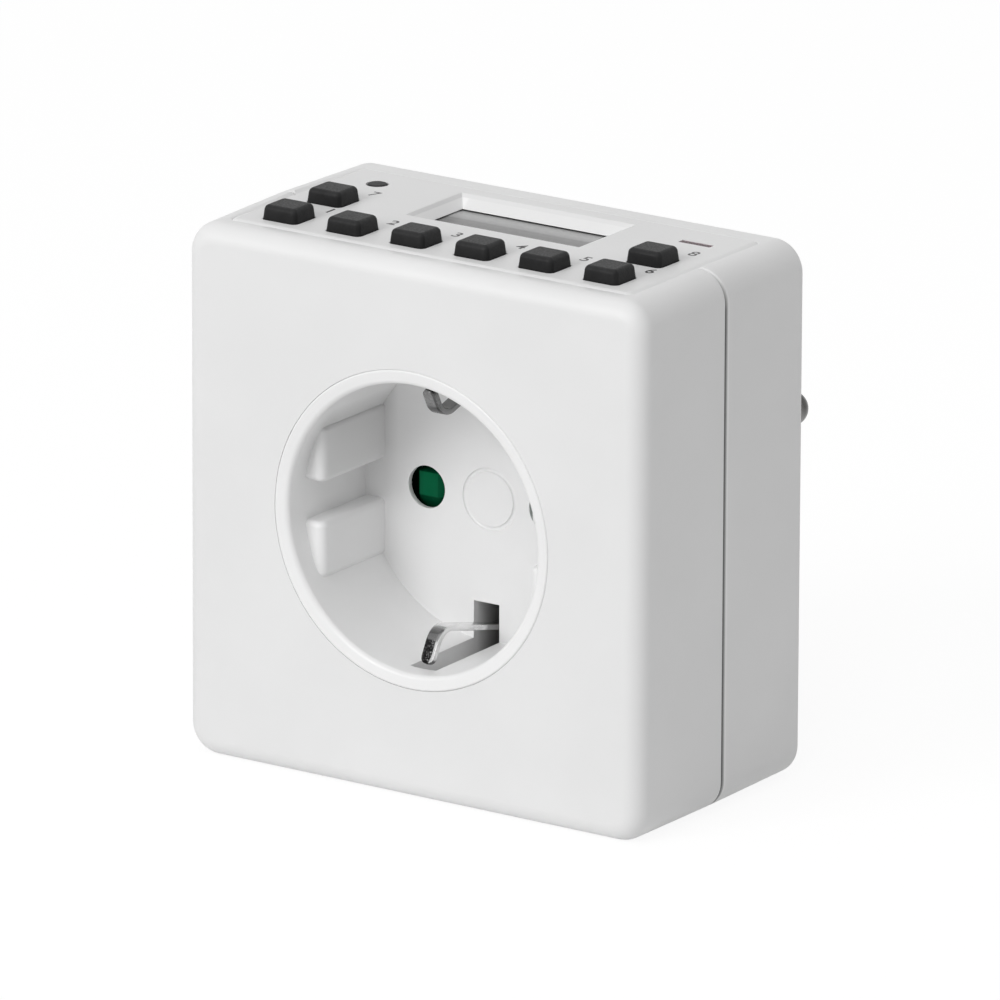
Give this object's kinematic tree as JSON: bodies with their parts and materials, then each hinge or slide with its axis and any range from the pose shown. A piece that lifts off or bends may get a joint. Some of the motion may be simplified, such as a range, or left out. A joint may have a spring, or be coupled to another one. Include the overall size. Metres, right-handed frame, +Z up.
{
  "type": "plug in timer switch",
  "caption": "Plug-in digital timer switch: earthed socket in front with shutter, plug behind, and a control panel with keys and display window on top.",
  "frame": {"origin": "middle of the plug's end face, on the axis that plug and socket share", "axes": "+X to the right seen from the socket side, +Y from the socket towards the plug pins, +Z up towards the control panel"},
  "size_m": [0.072, 0.0775, 0.0745],
  "materials": {
    "casing_white": "satin",
    "panel_white": "satin",
    "insert_white": "satin",
    "shutter_green": "satin",
    "spring_steel": "bright wire",
    "carrier_cream": "matte",
    "zinc": "zinc plated",
    "contact_brass": "plain",
    "clip_nickel": "nickel plated",
    "pin_nickel": "nickel plated brass",
    "wire_brown": "insulation",
    "wire_black": "insulation",
    "wire_blue": "insulation",
    "board_tan": "phenolic board",
    "board_green": "solder mask",
    "relay_blue": "satin",
    "film_yellow": "satin",
    "sleeve_black": "shrunk sleeve",
    "varistor_blue": "dipped coating",
    "resistor_body": "lacquered",
    "cell_steel": "bright",
    "ribbon_grey": "matte",
    "chip_black": "moulded",
    "frame_white": "matte",
    "display_glass": "reflective display, switched off",
    "zebra_rubber": "matte",
    "mat_rubber": "matte",
    "key_rubber": "matte",
    "reset_black": "matte",
    "lamp_red": "clear red",
    "lamp_window_red": "tinted"
  },
  "bodies": {
    "casing": {"front_shell": "casing_white", "rear_shell": "casing_white", "control_panel": "panel_white", "socket_insert": "insert_white", "shutter_spring": "spring_steel", "contact_carrier": "carrier_cream", "carrier_screws": "zinc", "live_contact": "contact_brass", "neutral_contact": "contact_brass", "neutral_bar": "contact_brass", "socket_earth_clip": "clip_nickel", "plug_earth_clip": "clip_nickel", "earth_rivet": "contact_brass", "plug_pin_left": "pin_nickel", "plug_pin_right": "pin_nickel", "pin_clamp": "carrier_cream", "clamp_screw": "zinc", "live_in_wire": "wire_brown", "live_out_wire": "wire_black", "neutral_wire": "wire_blue", "power_board": "board_tan", "relay": "relay_blue", "film_capacitor": "film_yellow", "electrolytic_capacitor": "sleeve_black", "varistor": "varistor_blue", "series_resistor": "resistor_body", "backup_cell": "cell_steel", "ribbon_cable": "ribbon_grey", "display_board": "board_green", "processor": "chip_black", "crystal": "cell_steel", "lcd_frame": "frame_white", "lcd_glass": "display_glass", "zebra_strips": "zebra_rubber", "keypad_mat": "mat_rubber", "lamp": "lamp_red", "lamp_window": "lamp_window_red", "case_screws": "zinc"},
    "clock_key": {"clock_key": "key_rubber"},
    "timer_key": {"timer_key": "key_rubber"},
    "mode_key": {"mode_key": "key_rubber"},
    "week_key": {"week_key": "key_rubber"},
    "hour_key": {"hour_key": "key_rubber"},
    "minute_key": {"minute_key": "key_rubber"},
    "random_key": {"random_key": "key_rubber"},
    "recall_key": {"recall_key": "key_rubber"},
    "reset_key": {"reset_key": "reset_black"},
    "shutter": {"shutter": "shutter_green"}
  },
  "joints": [
    {"name": "clock_key_press", "type": "slide", "parent": "casing", "child": "clock_key", "axis": [0, 0, -1], "range_m": [0, 0.0008], "stiffness_N_per_m": 1000, "springref_m": -0.0005},
    {"name": "timer_key_press", "type": "slide", "parent": "casing", "child": "timer_key", "axis": [0, 0, -1], "range_m": [0, 0.0008], "stiffness_N_per_m": 1000, "springref_m": -0.0005},
    {"name": "mode_key_press", "type": "slide", "parent": "casing", "child": "mode_key", "axis": [0, 0, -1], "range_m": [0, 0.0008], "stiffness_N_per_m": 1000, "springref_m": -0.0005},
    {"name": "week_key_press", "type": "slide", "parent": "casing", "child": "week_key", "axis": [0, 0, -1], "range_m": [0, 0.0008], "stiffness_N_per_m": 1000, "springref_m": -0.0005},
    {"name": "hour_key_press", "type": "slide", "parent": "casing", "child": "hour_key", "axis": [0, 0, -1], "range_m": [0, 0.0008], "stiffness_N_per_m": 1000, "springref_m": -0.0005},
    {"name": "minute_key_press", "type": "slide", "parent": "casing", "child": "minute_key", "axis": [0, 0, -1], "range_m": [0, 0.0008], "stiffness_N_per_m": 1000, "springref_m": -0.0005},
    {"name": "random_key_press", "type": "slide", "parent": "casing", "child": "random_key", "axis": [0, 0, -1], "range_m": [0, 0.0008], "stiffness_N_per_m": 1000, "springref_m": -0.0005},
    {"name": "recall_key_press", "type": "slide", "parent": "casing", "child": "recall_key", "axis": [0, 0, -1], "range_m": [0, 0.0008], "stiffness_N_per_m": 1000, "springref_m": -0.0005},
    {"name": "reset_key_press", "type": "slide", "parent": "casing", "child": "reset_key", "axis": [0, 0, -1], "range_m": [0, 0.0008], "stiffness_N_per_m": 1000, "springref_m": -0.0005},
    {"name": "shutter_lift", "type": "slide", "parent": "casing", "child": "shutter", "axis": [0, 0, 1], "range_m": [0, 0.0066], "stiffness_N_per_m": 80, "springref_m": -0.01, "deforming": ["shutter_spring"]}
  ]
}
